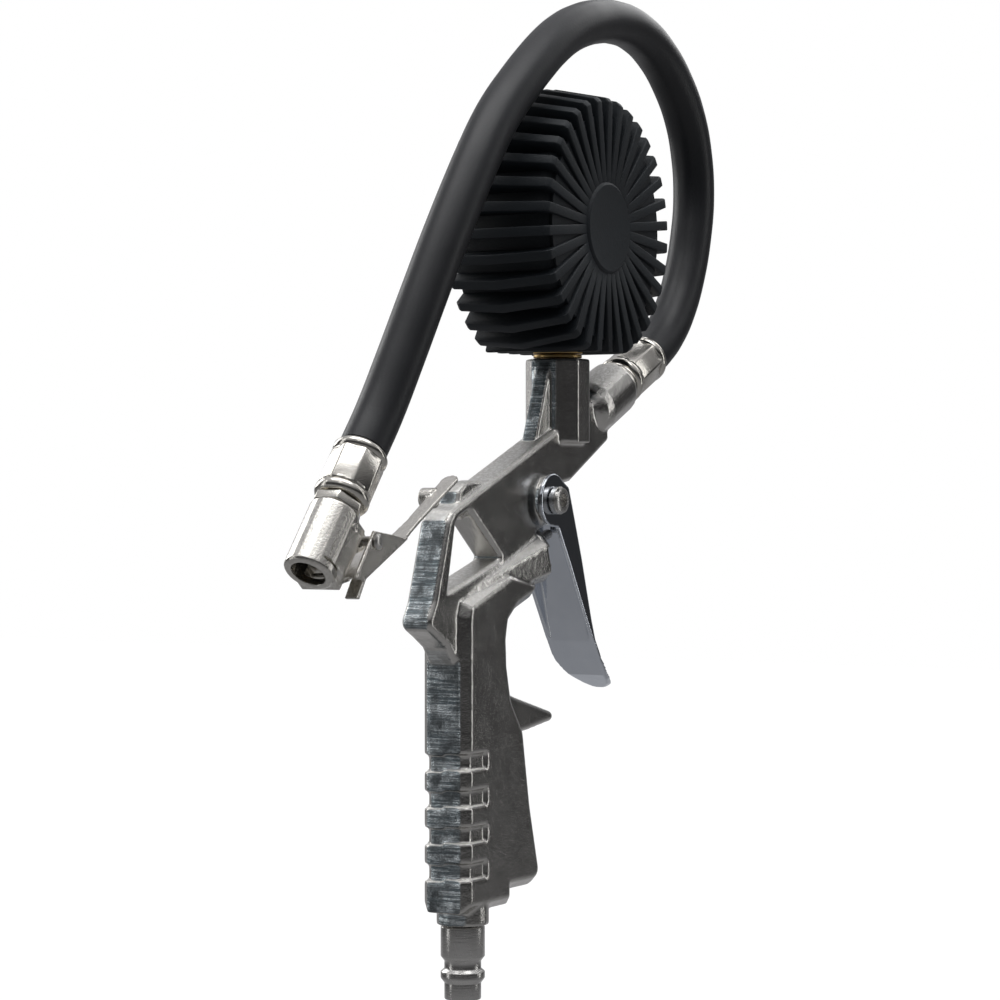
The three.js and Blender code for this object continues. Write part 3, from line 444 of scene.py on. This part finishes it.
def spun(name, profile, matrix=Matrix.Identity(4), steps=64):
    # profile points are radius and place along the local Z axis
    closed = profile[0][0] > 0
    line = profile + profile[:1] if closed else profile
    piece = drawn(name, [(r, 0, z) for r, z in line], matrix)
    axis = (matrix.to_3x3() @ Vector((0, 0, 1))).normalized()
    bpy.ops.mesh.select_all(action="SELECT")
    bpy.ops.mesh.remove_doubles(threshold=0.001 * mm)
    bpy.ops.mesh.spin(steps=steps, angle=2 * math.pi, center=matrix.translation, axis=axis)
    bpy.ops.mesh.select_all(action="SELECT")
    bpy.ops.mesh.remove_doubles(threshold=0.002 * mm)
    bpy.ops.mesh.normals_make_consistent(inside=False)
    bpy.ops.object.mode_set(mode="OBJECT")
    return piece


def placed(origin, xAxis, yAxis, zAxis):
    turn = Matrix((xAxis, yAxis, zAxis)).transposed().to_4x4()
    turn.translation = Vector(origin) * mm
    return turn


# ---------- hose

hose = {
    "radius": 6.4,
    "length": 0.339,
    "start": [108.52, 0, 177.98],
    "route": [
        [113.4, 0, 180.6], [120.5, 0, 185.4], [127.7, 0, 193], [134.1, 0, 203.6], [138.7, 0, 216],
        [140.9, 0, 229.8], [138.9, 0, 243.4], [134.5, 0, 253.2], [127.2, 0, 261.8], [115.9, 0, 270],
        [99.6, -0.6, 275.2], [83.5, -1.3, 275.8], [71.8, -2, 274.2], [61.4, -2.8, 271.7], [51.1, -3.5, 268.1],
        [40.6, -4.2, 262.9], [30.7, -4.7, 256.6], [21.3, -5, 249.7], [13.8, -5, 243.5], [7.3, -5, 237.1],
        [1, -5, 229.6], [-4.9, -4.8, 221.7], [-15.5, -4, 205.6], [-25.1, -2.8, 189], [-34.1, -1.4, 172.6],
        [-42.9, -0.3, 157.8],
    ],
    "end": [-50.21, 0, 148.33],
}


def makeHose():
    points = [hose["start"], *hose["route"], hose["end"]]
    data = bpy.data.curves.new("hose_tube", "CURVE")
    data.dimensions = "3D"
    line = data.splines.new("BEZIER")
    line.bezier_points.add(len(points) - 1)
    for knot, point in zip(line.bezier_points, points):
        knot.co = Vector(point) * mm
        knot.handle_left_type = knot.handle_right_type = "AUTO"
        knot.radius = hose["radius"] * mm  # the box of a curve counts this radius
    line.resolution_u = 10
    data.bevel_depth = 1
    data.bevel_resolution = 14
    data.use_fill_caps = True
    tube = bpy.data.objects.new("hose_tube", data)
    bpy.context.scene.collection.objects.link(tube)
    stand(tube, "hose")
    return tube


# ---------- boot

boot = {
    "centre": (53.2, 0, 212.2), "ribs": 34, "ribWidth": 2.75, "ridge": 40.2, "backEnd": 36.9, "frontEnd": 38.6,
    "back": -17.2, "front": 15.4, "shell": 33.5, "hub": 13.0, "inner": 31.75, "level": 35.1,
}


def makeBoot():
    b = boot
    # the local Z axis of the wheel is the dial's axis, towards +Y
    matrix = placed(b["centre"], (1, 0, 0), (0, 0, -1), (0, 1, 0))
    bottom = b["back"] + 1.7
    shell = spun("gauge_boot_skin", [
        (0, b["back"] + 0.5), (b["hub"] - 3.5, b["back"] + 0.35), (b["hub"] - 0.8, b["back"] + 0.1),
        (b["hub"], b["back"] + 0.7), (b["hub"] + 0.6, bottom), (b["shell"] - 2.2, bottom + 0.4),
        (b["shell"] - 0.7, bottom + 1.2), (b["shell"], bottom + 2.6), (b["shell"], b["front"] - 0.6),
        (b["shell"] - 0.5, b["front"]), (b["inner"] - 1.6, b["front"]), (b["inner"] - 1.8, b["front"] - 0.4),
        (b["inner"], b["front"] - 0.9), (b["inner"], b["back"] + 1.35), (0, b["back"] + 1.35),
    ], matrix, 102)
    rib = drawn("rib", [(x, -b["ribWidth"] / 2, z) for x, z in [
        (b["hub"] - 0.6, b["back"] + 1.0), (b["hub"] + 0.4, b["back"] + 0.55), (b["backEnd"] - 1.2, b["back"]),
        (b["backEnd"], b["back"] + 1.1), (b["ridge"], 0), (b["frontEnd"], b["front"] - 1.1),
        (b["frontEnd"] - 0.9, b["front"]), (b["shell"] - 0.9, b["front"]), (b["shell"] - 0.6, bottom + 2.4),
        (b["shell"] - 2.6, bottom + 0.6), (b["hub"] - 0.6, bottom + 0.3),
    ]], matrix)
    bpy.ops.mesh.select_all(action="SELECT")
    bpy.ops.mesh.edge_face_add()
    across = matrix.to_3x3() @ Vector((0, b["ribWidth"] * mm, 0))
    bpy.ops.mesh.extrude_region_move(TRANSFORM_OT_translate={"value": across})
    bpy.ops.mesh.select_all(action="SELECT")
    bpy.ops.mesh.normals_make_consistent(inside=False)
    bpy.ops.object.mode_set(mode="OBJECT")
    modify(rib, "BEVEL", width=0.32 * mm, segments=3, limit_method="ANGLE", angle_limit=math.radians(30))
    smooth(rib, 30)
    ribs = []
    for i in range(b["ribs"]):
        turn = Matrix.Rotation(-2 * math.pi * (i + 0.5) / b["ribs"], 4, "Y")
        one = rib.copy()
        one.data = rib.data.copy()
        centre = Matrix.Translation(matrix.translation)
        one.data.transform(centre @ turn @ centre.inverted())
        bpy.context.scene.collection.objects.link(one)
        ribs.append(one)
    bpy.data.objects.remove(rib)
    smooth(shell, 40)
    only(shell)
    for one in ribs:
        one.select_set(True)
    bpy.ops.object.join()
    # the ribs stop level above the column
    level = (b["centre"][2] - b["level"]) * mm
    bpy.ops.object.mode_set(mode="EDIT")
    bpy.ops.mesh.select_all(action="SELECT")
    bpy.ops.mesh.bisect(plane_co=(0, 0, level), plane_no=(0, 0, 1), use_fill=True, clear_inner=True)
    bpy.ops.object.mode_set(mode="OBJECT")
    stand(shell, "gauge_boot")


# ---------- shared helpers for the metal pieces

def direction(angle):
    # a unit vector in the middle plane, turned up from +X by an angle in degrees
    return Vector((math.cos(math.radians(angle)), 0, math.sin(math.radians(angle))))


def alongAxis(origin, angle):
    # a frame at a point whose Z axis runs at an angle above +X and whose X axis lies below it
    zAxis = direction(angle)
    xAxis = direction(angle - 90)
    return placed(origin, xAxis, zAxis.cross(xAxis), zAxis)


def hexBar(name, flats, low, high, matrix, sides=6, bevel=0.35):
    only(nodes["hose"])
    bpy.ops.object.select_all(action="DESELECT")
    radius = flats / 2 / math.cos(math.pi / sides)
    bpy.ops.mesh.primitive_cylinder_add(vertices=sides, radius=radius * mm, depth=(high - low) * mm)
    bar = bpy.context.object
    bar.name = bar.data.name = name
    bar.data.transform(matrix @ Matrix.Translation((0, 0, (low + high) / 2 * mm)))
    if bevel:
        modify(bar, "BEVEL", width=bevel * mm, segments=3, limit_method="ANGLE", angle_limit=math.radians(25))
    return bar


def carve(piece, cutter):
    modify(piece, "BOOLEAN", object=cutter, operation="DIFFERENCE", solver="EXACT")
    bpy.data.objects.remove(cutter)


def joined(first, *others):
    only(first)
    for other in others:
        other.select_set(True)
    bpy.ops.object.join()
    return first


def cast(node, voxel, rounds, kept=0.5):
    # a soft-edged copy of a pressed or cast piece, which keeps a share of its faces
    skin = copyOf(node)
    modify(skin, "REMESH", mode="VOXEL", voxel_size=voxel * mm)
    modify(skin, "SMOOTH", factor=0.5, iterations=rounds)
    modify(skin, "DECIMATE", ratio=kept)
    only(skin)
    bpy.ops.object.shade_smooth()
    return skin


def softened(node, width, angle=30):
    # a copy of a machined piece with its edges broken
    piece = copyOf(node)
    modify(piece, "BEVEL", width=width * mm, segments=2, limit_method="ANGLE", angle_limit=math.radians(angle))
    return smooth(piece, 40)


# ---------- casting

casting = {"voxel": 0.5, "rounds": 4}


def makeCasting():
    stand(cast("body_casting", casting["voxel"], casting["rounds"]), "body_casting")


# ---------- inlet nipple and valve

nipple = {"radius": 6.0, "bore": 3.2, "groove": 5.0, "crest": 4.85, "root": 4.45, "pitch": 1.0, "steps": 96}


def makeNipple():
    n = nipple
    r = n["radius"]
    top = nodes["inlet_nipple"].bound_box[6][2] / mm
    rim = [(n["bore"] + 0.25, 0.03), (r - 1.5, 0.03), (r - 1.15, 0.12), (r - 1.02, 0.4), (r - 1.0, 4.5)]
    ring = [(r - 0.25, 5.5), (r - 0.05, 5.8), (r, 6.0), (r, 7.45), (r - 0.1, 7.65)]
    waist = [(n["groove"] + 0.1, 8.3), (n["groove"], 8.5), (n["groove"], 10.4), (n["groove"] + 0.1, 10.6)]
    neck = [(r - 0.12, 11.6), (r, 11.85), (r, 19.6), (r - 0.3, 19.95), (4.9, 20.0)]
    thread = []
    z = 20.4
    while z < top - 1.2:
        thread += [(n["root"], z), (n["crest"], z + n["pitch"] / 2)]
        z += n["pitch"]
    end = [(4.4, top - 0.05), (n["bore"], top - 0.05), (n["bore"], 0.3)]
    body = spun("nipple_skin", [*rim, *ring, *waist, *neck, *thread, *end], steps=n["steps"])
    smooth(body, 32)
    stand(body, "inlet_nipple")


# the width of the broken edges and the body that each piece rides on
valve = {"valve_gland_nut": (0.25, "gun"), "valve_stem": (0.15, "valve"), "valve_seat": (0.1, "gun")}


def makeValve():
    for node, (width, body) in valve.items():
        stand(softened(node, width), node, body)


# ---------- trigger

trigger = {
    "voxel": 0.32, "rounds": 7, "pivot": (37.3, 0, 135), "outer": 8.1, "headRadius": 3.9, "head": 2.6,
    "keyFlats": 3.6, "keyDepth": 1.7,
}


def makeTrigger():
    t = trigger
    stand(cast("trigger_lever", t["voxel"], t["rounds"], 0.45), "trigger_lever", "trigger")
    # the bolt's axis points to the left side of the gun
    matrix = placed(t["pivot"], (0, 0, 1), (-1, 0, 0), (0, -1, 0))
    side, face, r = t["outer"], t["outer"] + t["head"], t["headRadius"]
    bolt = spun("pivot_bolt_skin", [
        (0, -side - 3.55), (2.1, -side - 3.55), (2.48, -side - 3.1), (2.48, side + 0.02),
        (r - 0.2, side + 0.02), (r, side + 0.2), (r, side + 1.5), (r - 0.25, side + 1.62),
        (r - 0.3, side + 1.75), (r - 0.3, face - 0.45), (r - 0.42, face - 0.16), (r - 0.75, face - 0.02),
        (0, face - 0.02),
    ], matrix, 72)
    carve(bolt, hexBar("key_socket", t["keyFlats"], face - t["keyDepth"], face + 1, matrix, bevel=0))
    rim = spun("key_rim", [
        (2.15, face - 0.06), (2.3, face - 0.01), (2.55, face - 0.01), (2.7, face - 0.06),
    ], matrix, 48)
    smooth(bolt, 30)
    stand(joined(bolt, smooth(rim, 40)), "pivot_bolt")
    stand(softened("pivot_nut", 0.35), "pivot_nut")


# ---------- hose ends

# Both sleeves run along their own axis: its origin and its angle above +X, then where they begin and end on it.
ends = {
    "port": ((87.5, 0, 168.4), 24.5), "portSleeve": (3.2, 22.8), "portRolled": (1.3, 0.9),
    "chuck": ((-50.4, 0, 148.1), 51), "chuckSleeve": (-16.95, -0.05), "chuckRolled": (1.1, 1.5),
    "nut": (11.9, -20.25, -17.35), "radius": 7.35, "inner": 3.7, "collar": 3.3, "flats": 13.55, "steps": 96,
}


def crimped(name, matrix, span, rolled):
    # a sleeve with a rounded collar at each end and eight pressed flats between
    low, high = span
    r, c, inside = ends["radius"] - 0.02, ends["collar"], ends["inner"]
    parts = []
    for start, finish, soft in ((low, low + c, rolled[0]), (high - c, high, rolled[1])):
        bulge = [(r - soft, start), (r - 0.35 * soft, start + 0.12 * c), (r, start + 0.36 * c),
                 (r, finish - 0.36 * c), (r - 0.35 * soft, finish - 0.12 * c), (r - soft, finish)]
        parts.append(smooth(spun(name, [(inside, start), *bulge, (inside, finish)], matrix, ends["steps"]), 45))
    middle = hexBar(name + "_flats", ends["flats"], low + c - 0.4, high - c + 0.4, matrix, 8, 0.5)
    parts.append(smooth(middle, 50))
    for place in (low + c + 0.35, high - c - 0.35):
        ring = [
            (inside, place - 0.5), (r - 0.75, place - 0.5), (r - 0.42, place - 0.2),
            (r - 0.42, place + 0.2), (r - 0.75, place + 0.5), (inside, place + 0.5),
        ]
        parts.append(smooth(spun(name, ring, matrix, ends["steps"]), 45))
    return joined(*parts)


def makeHoseEnds():
    port = alongAxis(*ends["port"])
    stand(crimped("head_ferrule_skin", port, ends["portSleeve"], ends["portRolled"]), "head_ferrule")
    tail = spun("hose_tail_skin", [
        (1.8, -6.9), (3.9, -6.9), (4.15, -6.5), (4.15, 0.35), (6.5, 0.35), (6.9, 0.55), (6.98, 0.9),
        (6.98, 2.1), (6.75, 2.6), (6.2, 2.88), (3.2, 2.88), (3.2, 21.7), (1.8, 21.7),
    ], port, ends["steps"])
    stand(smooth(tail, 35), "hose_tail")
    outlet = alongAxis(*ends["chuck"])
    stand(crimped("chuck_ferrule_skin", outlet, ends["chuckSleeve"], ends["chuckRolled"]), "chuck_ferrule")
    neck = spun("chuck_tail_skin", [
        (1.8, -25.5), (3.6, -25.5), (3.78, -25.2), (3.78, -17.4), (3.2, -17.2), (3.2, -1.1), (1.8, -1.1),
    ], outlet)
    nut = hexBar("chuck_nut", *ends["nut"], outlet, 6, 0.45)
    stand(joined(smooth(neck, 40), smooth(nut, 40)), "chuck_tail")


# ---------- chuck and clip

chuck = {
    "voxel": 0.22, "clipVoxel": 0.24, "rounds": 4, "pin": (10.1, 0, -21.6), "reach": 8.0,
    "stud": (1.7, -6.6, -24.1),
    "slit": {"at": (-1.2, -7.4, -37.1), "long": 6.4, "high": 0.8},
}


def makeChuck():
    outlet = alongAxis(*ends["chuck"])
    body = cast("chuck_body", chuck["voxel"], chuck["rounds"], 0.4)
    slit = chuck["slit"]
    bpy.ops.object.select_all(action="DESELECT")
    bpy.ops.mesh.primitive_cube_add(size=mm)
    blade = bpy.context.object
    size = Matrix.Diagonal((slit["long"], 4, slit["high"], 1))
    blade.data.transform(outlet @ Matrix.Translation(Vector(slit["at"]) * mm) @ size)
    carve(body, blade)
    side = outlet @ placed(chuck["stud"], (1, 0, 0), (0, 0, 1), (0, -1, 0))
    stud = spun("stud", [
        (0, 0.02), (0.75, 0.02), (0.85, 0.1), (0.95, 0.22), (1.25, 0.24), (1.4, 0.12), (1.45, -0.3), (0, -0.3),
    ], side, 40)
    stand(joined(body, smooth(stud, 40)), "chuck_body", finish="satin")
    stand(cast("clip_lever", chuck["clipVoxel"], chuck["rounds"], 0.5), "clip_lever", "clip", "satin")
    origin = outlet @ (Vector(chuck["pin"]) * mm) / mm
    matrix = placed(origin, (0, 0, 1), (-1, 0, 0), (0, -1, 0))
    head = chuck["reach"] + 0.3
    half = [
        (1.28, 0), (1.28, head), (1.98, head + 0.02), (1.96, head + 0.35), (1.5, head + 0.66),
        (0.8, head + 0.78), (0, head + 0.79),
    ]
    rivet = spun("clip_pin_skin", [(r, -z) for r, z in reversed(half[1:])] + half, matrix, 48)
    stand(smooth(rivet, 40), "clip_pin")
    spring = copyOf("clip_spring")
    modify(spring, "SUBSURF", levels=1, render_levels=1)
    stand(smooth(spring, 60), "clip_spring")


# ---------- gauge

gauge = {
    "centre": boot["centre"], "radius": 31.4, "bezelFront": 15.2, "lensFront": 13.6, "dial": 7.6, "edge": 29.9,
    "sweep": 270, "bars": 16, "tickInset": 2.2, "numberInset": 9.4, "numberSize": 4.6, "steps": 128,
}
# every tenth tick, every fifth and the rest: length and half width
ticks = {10: (3.4, 0.3), 5: (2.4, 0.2), 1: (1.5, 0.11)}


def makeGauge():
    g = gauge
    matrix = placed(g["centre"], (1, 0, 0), (0, 0, -1), (0, 1, 0))
    r, face = g["radius"], g["bezelFront"]
    bezel = spun("gauge_bezel_skin", [
        (r - 3.0, face - 0.55), (r - 2.7, face - 0.12), (r - 2.2, face - 0.01), (r - 1.1, face - 0.01),
        (r - 0.4, face - 0.3), (r - 0.03, face - 0.95), (r - 0.01, 11.4), (r - 0.58, 11.4), (r - 0.62, 13.95),
        (r - 2.9, 13.98),
    ], matrix, g["steps"])
    stand(smooth(bezel, 40), "gauge_bezel")
    front = g["lensFront"]
    lens = spun("gauge_lens_skin", [
        (0, front - 2), (r - 1.2, front - 2), (r - 0.93, front - 1.8), (r - 0.93, front - 0.1),
        (r - 1.1, front - 0.02), (r * 0.5, front - 0.01), (0, front),
    ], matrix, g["steps"])
    stand(smooth(lens, 40), "gauge_lens")
    dial = spun("gauge_dial_skin", [
        (2.4, g["dial"] - 0.58), (g["edge"] - 0.2, g["dial"] - 0.58), (g["edge"] - 0.05, g["dial"] - 0.4),
        (g["edge"] - 0.05, g["dial"] - 0.15), (g["edge"] - 0.2, g["dial"] - 0.02), (2.4, g["dial"] - 0.02),
    ], matrix, g["steps"])
    stand(smooth(dial, 40), "gauge_dial")
    makeMarks()
    stand(smooth(copyOf("gauge_case"), 30), "gauge_case")
    stand(softened("gauge_socket", 0.3), "gauge_socket")
    stand(softened("socket_washer", 0.15), "socket_washer")
    stand(softened("pointer", 0.08, 40), "pointer", "needle")


def makeMarks():
    # tick marks and plain numbers from 0 to full scale, raised a hair above the dial
    g = gauge
    marks = []
    count = g["bars"] * 5
    middle = Matrix.Translation(Vector(g["centre"]) * mm + Vector((0, (g["dial"] + 0.01) * mm, 0)))
    for i in range(count + 1):
        # clockwise from the lower left, seen from the front
        angle = math.radians(-90 - (360 - g["sweep"]) / 2 - i * g["sweep"] / count)
        length, half = next(size for every, size in ticks.items() if i % every == 0)
        bpy.ops.object.select_all(action="DESELECT")
        bpy.ops.mesh.primitive_cube_add(size=mm)
        tick = bpy.context.object
        out = g["edge"] - g["tickInset"] - length / 2
        # the front of the dial is seen from +Y, where +X is on the left
        spot = Matrix.Translation((-out * math.cos(angle) * mm, 0, out * math.sin(angle) * mm))
        turn = Matrix.Rotation(angle, 4, "Y")
        size = Matrix.Diagonal((length, 0.05, 2 * half, 1))
        tick.data.transform(middle @ spot @ turn @ size)
        marks.append(tick)
        if i % 10 == 0:
            marks.append(number(str(i // 5), angle))
    first = joined(*marks)
    first.name = first.data.name = "dial_marks"
    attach(first, "gun")
    paint(first, "pointer_black")


def number(words, angle):
    g = gauge
    bpy.ops.object.select_all(action="DESELECT")
    bpy.ops.object.text_add()
    text = bpy.context.object
    text.data.body = words
    text.data.size = g["numberSize"] * mm
    text.data.align_x = text.data.align_y = "CENTER"
    text.data.extrude = 0.03 * mm
    text.data.resolution_u = 4
    bpy.ops.object.convert(target="MESH")
    text = bpy.context.object
    out = g["edge"] - g["numberInset"]
    # upright text, turned to face +Y
    face = placed((0, 0, 0), (-1, 0, 0), (0, 0, 1), (0, 1, 0))
    spot = Vector((-out * math.cos(angle), g["dial"] + 0.02, out * math.sin(angle))) + Vector(g["centre"])
    text.data.transform(Matrix.Translation(spot * mm) @ face)
    return text


makeCamera()
makeLamps()
makeRoom()
tube = makeHose()
print("hose made")
makeBoot()
print("boot made")
makeCasting()
print("casting made")
makeNipple()
makeValve()
makeTrigger()
print("trigger made")
makeHoseEnds()
makeChuck()
print("chuck made")
makeGauge()
print("gauge made")

for name, node in nodes.items():
    if not node.hide_render:
        paint(node, slotOf[name])

floor = {"size": 6.0, "height": -0.10}


def makeFloor():
    bpy.ops.object.select_all(action="DESELECT")
    bpy.ops.mesh.primitive_plane_add(size=floor["size"], location=(0, 0, floor["height"]))
    plane = bpy.context.object
    plane.name = "pale_floor"
    pale = Finish("pale_floor", Roughness=0.9)
    pale.set(Base_Color=(0.0, 0.0, 0.0), Emission_Color=(1, 1, 1), Emission_Strength=1.0)
    plane.data.materials.append(pale.material)
    plane.visible_glossy = False
    plane.visible_diffuse = False


makeFloor()
bpy.context.view_layer.update()
